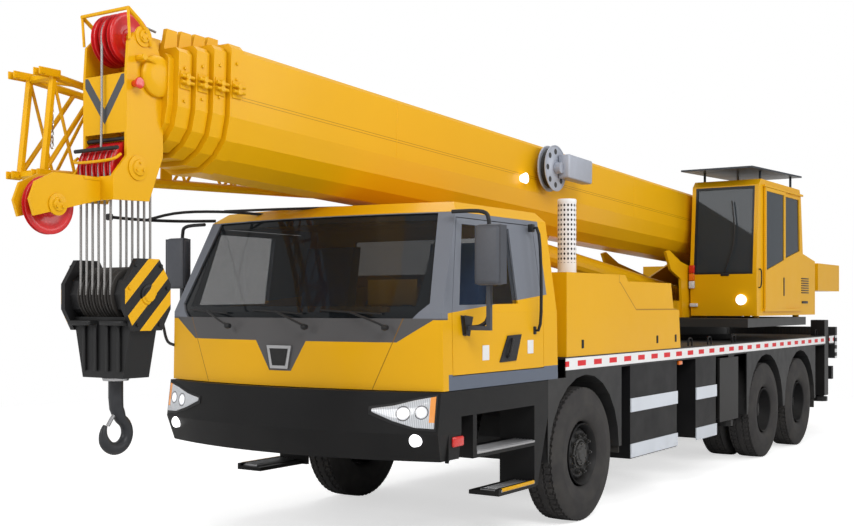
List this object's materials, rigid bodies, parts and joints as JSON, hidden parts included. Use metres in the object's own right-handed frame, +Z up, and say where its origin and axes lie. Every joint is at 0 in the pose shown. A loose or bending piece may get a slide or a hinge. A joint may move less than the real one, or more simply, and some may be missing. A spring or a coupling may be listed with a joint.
{
  "type": "truck crane",
  "caption": "Three-axle truck crane with a telescopic boom, slewing superstructure, hook block, stowed side jib and extending outriggers.",
  "frame": {"origin": "middle of the vehicle's length and width, on the ground under the tyres", "axes": "+X forward, +Y to the vehicle's left, +Z up"},
  "size_m": [12.53, 3.12, 3.4919],
  "materials": {
    "chassis_paint": "satin black chassis paint",
    "bumper_plastic": "grained dark plastic",
    "yellow_paint": "gloss golden yellow paint",
    "tinted_glass": "tinted safety glass",
    "trim_plastic": "cab trim and seats",
    "engine_iron": "cast iron",
    "exhaust_guard": "pale heat guard",
    "winch_steel": "painted steel",
    "reel_metal": "bare metal reel",
    "sheave_nylon": "red nylon sheaves",
    "rope_steel": "steel wire rope",
    "block_paint": "black paint with hazard stripes",
    "hook_steel": "forged steel, painted black",
    "rod_chrome": "chromed rod",
    "tyre_rubber": "road tyre rubber",
    "wheel_paint": "black wheel paint",
    "outrigger_paint": "black outrigger paint"
  },
  "bodies": {
    "carrier": {"chassis_frame": "chassis_paint", "deck": "chassis_paint", "side_boxes": "chassis_paint", "bumper": "bumper_plastic", "axles": "chassis_paint", "cab_shell": "yellow_paint", "cab_glass": "tinted_glass", "cab_interior": "trim_plastic", "engine": "engine_iron", "engine_cover": "yellow_paint", "exhaust": "exhaust_guard"},
    "superstructure": {"turntable": "yellow_paint", "counterweight": "yellow_paint", "winch": "winch_steel", "crane_cab": "yellow_paint", "crane_cab_glass": "tinted_glass", "crane_seat": "trim_plastic"},
    "crane_cab_door": {"crane_cab_door": "yellow_paint", "crane_cab_door_glass": "tinted_glass"},
    "boom": {"boom_base": "yellow_paint", "cable_reel": "reel_metal", "jib": "yellow_paint"},
    "boom_section_2": {"boom_section_2": "yellow_paint"},
    "boom_section_3": {"boom_section_3": "yellow_paint"},
    "boom_section_4": {"boom_section_4": "yellow_paint"},
    "boom_tip": {"boom_tip": "yellow_paint", "sheaves": "sheave_nylon"},
    "hook_block": {"ropes": "rope_steel", "hook_block": "block_paint"},
    "hook": {"hook": "hook_steel"},
    "luff_barrel": {"luff_barrel": "yellow_paint"},
    "luff_rod": {"luff_rod": "rod_chrome"},
    "door_left": {"door_left": "yellow_paint", "door_glass_left": "tinted_glass"},
    "knuckle_left": {"knuckle_left": "chassis_paint"},
    "wheel_front_left": {"tyre_front_left": "tyre_rubber", "rim_front_left": "wheel_paint"},
    "wheels_middle_left": {"tyres_middle_left": "tyre_rubber", "rims_middle_left": "wheel_paint"},
    "wheels_rear_left": {"tyres_rear_left": "tyre_rubber", "rims_rear_left": "wheel_paint"},
    "outrigger_beam_front_left": {"outrigger_beam_front_left": "outrigger_paint"},
    "outrigger_jack_front_left": {"outrigger_jack_front_left": "outrigger_paint"},
    "outrigger_beam_rear_left": {"outrigger_beam_rear_left": "outrigger_paint"},
    "outrigger_jack_rear_left": {"outrigger_jack_rear_left": "outrigger_paint"},
    "door_right": {"door_right": "yellow_paint", "door_glass_right": "tinted_glass"},
    "knuckle_right": {"knuckle_right": "chassis_paint"},
    "wheel_front_right": {"tyre_front_right": "tyre_rubber", "rim_front_right": "wheel_paint"},
    "wheels_middle_right": {"tyres_middle_right": "tyre_rubber", "rims_middle_right": "wheel_paint"},
    "wheels_rear_right": {"tyres_rear_right": "tyre_rubber", "rims_rear_right": "wheel_paint"},
    "outrigger_beam_front_right": {"outrigger_beam_front_right": "outrigger_paint"},
    "outrigger_jack_front_right": {"outrigger_jack_front_right": "outrigger_paint"},
    "outrigger_beam_rear_right": {"outrigger_beam_rear_right": "outrigger_paint"},
    "outrigger_jack_rear_right": {"outrigger_jack_rear_right": "outrigger_paint"}
  },
  "joints": [
    {"name": "door_left_hinge", "type": "hinge", "parent": "carrier", "child": "door_left", "pos_m": [3.805, 1.25, 1.7], "axis": [0, 0, -1], "range_deg": [0, 70]},
    {"name": "steer_left", "type": "hinge", "parent": "carrier", "child": "knuckle_left", "pos_m": [1.805, 0.98, 0.5425], "axis": [0, 0, 1], "range_deg": [-32, 32]},
    {"name": "wheel_front_left_spin", "type": "hinge", "parent": "knuckle_left", "child": "wheel_front_left", "pos_m": [1.805, 1.1, 0.5425], "axis": [0, 1, 0], "continuous": true},
    {"name": "wheels_middle_left_spin", "type": "hinge", "parent": "carrier", "child": "wheels_middle_left", "pos_m": [-2.92, 1.1, 0.5425], "axis": [0, 1, 0], "continuous": true},
    {"name": "wheels_rear_left_spin", "type": "hinge", "parent": "carrier", "child": "wheels_rear_left", "pos_m": [-4.29, 1.1, 0.5425], "axis": [0, 1, 0], "continuous": true},
    {"name": "outrigger_front_left_reach", "type": "slide", "parent": "carrier", "child": "outrigger_beam_front_left", "axis": [0, 1, 0], "range_m": [0, 1.8]},
    {"name": "outrigger_front_left_jack", "type": "slide", "parent": "outrigger_beam_front_left", "child": "outrigger_jack_front_left", "axis": [0, 0, -1], "range_m": [0, 0.55]},
    {"name": "outrigger_rear_left_reach", "type": "slide", "parent": "carrier", "child": "outrigger_beam_rear_left", "axis": [0, 1, 0], "range_m": [0, 1.8]},
    {"name": "outrigger_rear_left_jack", "type": "slide", "parent": "outrigger_beam_rear_left", "child": "outrigger_jack_rear_left", "axis": [0, 0, -1], "range_m": [0, 0.55]},
    {"name": "door_right_hinge", "type": "hinge", "parent": "carrier", "child": "door_right", "pos_m": [3.805, -1.25, 1.7], "axis": [0, 0, 1], "range_deg": [0, 70]},
    {"name": "steer_right", "type": "hinge", "parent": "carrier", "child": "knuckle_right", "pos_m": [1.805, -0.98, 0.5425], "axis": [0, 0, 1], "range_deg": [-32, 32]},
    {"name": "wheel_front_right_spin", "type": "hinge", "parent": "knuckle_right", "child": "wheel_front_right", "pos_m": [1.805, -1.1, 0.5425], "axis": [0, 1, 0], "continuous": true},
    {"name": "wheels_middle_right_spin", "type": "hinge", "parent": "carrier", "child": "wheels_middle_right", "pos_m": [-2.92, -1.1, 0.5425], "axis": [0, 1, 0], "continuous": true},
    {"name": "wheels_rear_right_spin", "type": "hinge", "parent": "carrier", "child": "wheels_rear_right", "pos_m": [-4.29, -1.1, 0.5425], "axis": [0, 1, 0], "continuous": true},
    {"name": "outrigger_front_right_reach", "type": "slide", "parent": "carrier", "child": "outrigger_beam_front_right", "axis": [0, -1, 0], "range_m": [0, 1.8]},
    {"name": "outrigger_front_right_jack", "type": "slide", "parent": "outrigger_beam_front_right", "child": "outrigger_jack_front_right", "axis": [0, 0, -1], "range_m": [0, 0.55]},
    {"name": "outrigger_rear_right_reach", "type": "slide", "parent": "carrier", "child": "outrigger_beam_rear_right", "axis": [0, -1, 0], "range_m": [0, 1.8]},
    {"name": "outrigger_rear_right_jack", "type": "slide", "parent": "outrigger_beam_rear_right", "child": "outrigger_jack_rear_right", "axis": [0, 0, -1], "range_m": [0, 0.55]},
    {"name": "slew", "type": "hinge", "parent": "carrier", "child": "superstructure", "pos_m": [-3.395, 0, 1.4], "axis": [0, 0, 1], "continuous": true},
    {"name": "crane_cab_door_slide", "type": "slide", "parent": "superstructure", "child": "crane_cab_door", "axis": [-1, 0, 0], "range_m": [0, 0.68]},
    {"name": "boom_luff", "type": "hinge", "parent": "superstructure", "child": "boom", "pos_m": [-5.595, 0, 2.59], "axis": [0, -1, 0], "range_deg": [0, 76]},
    {"name": "luff_barrel_swing", "type": "hinge", "parent": "superstructure", "child": "luff_barrel", "pos_m": [-3.145, 0, 1.9], "axis": [0, -1, 0], "range_deg": [0, 89.88]},
    {"name": "luff_rod_slide", "type": "slide", "parent": "luff_barrel", "child": "luff_rod", "axis": [0.9943, 0, 0.1062], "range_m": [0, 2.90206]},
    {"name": "telescope_2", "type": "slide", "parent": "boom", "child": "boom_section_2", "axis": [0.9993, 0, 0.0372], "range_m": [0, 7.5]},
    {"name": "telescope_3", "type": "slide", "parent": "boom_section_2", "child": "boom_section_3", "axis": [0.9993, 0, 0.0372], "range_m": [0, 7.5]},
    {"name": "telescope_4", "type": "slide", "parent": "boom_section_3", "child": "boom_section_4", "axis": [0.9993, 0, 0.0372], "range_m": [0, 7.5]},
    {"name": "telescope_tip", "type": "slide", "parent": "boom_section_4", "child": "boom_tip", "axis": [0.9993, 0, 0.0372], "range_m": [0, 7.5]},
    {"name": "hook_block_hang", "type": "hinge", "parent": "boom_tip", "child": "hook_block", "pos_m": [5.595, 0, 2.555], "axis": [0, -1, 0], "range_deg": [-76, 0]},
    {"name": "hook_swivel", "type": "hinge", "parent": "hook_block", "child": "hook", "pos_m": [5.595, 0, 1.4], "axis": [0, 0, 1], "continuous": true}
  ],
  "couplings": [
    {"joint": "steer_right", "follows": "steer_left", "ratio": 1},
    {"joint": "luff_barrel_swing", "follows": "boom_luff", "ratio": 1.1825},
    {"joint": "luff_rod_slide", "follows": "boom_luff", "m_per_rad": 2.1871},
    {"joint": "telescope_3", "follows": "telescope_2", "ratio": 1},
    {"joint": "telescope_4", "follows": "telescope_2", "ratio": 1},
    {"joint": "telescope_tip", "follows": "telescope_2", "ratio": 1},
    {"joint": "hook_block_hang", "follows": "boom_luff", "ratio": -1}
  ]
}
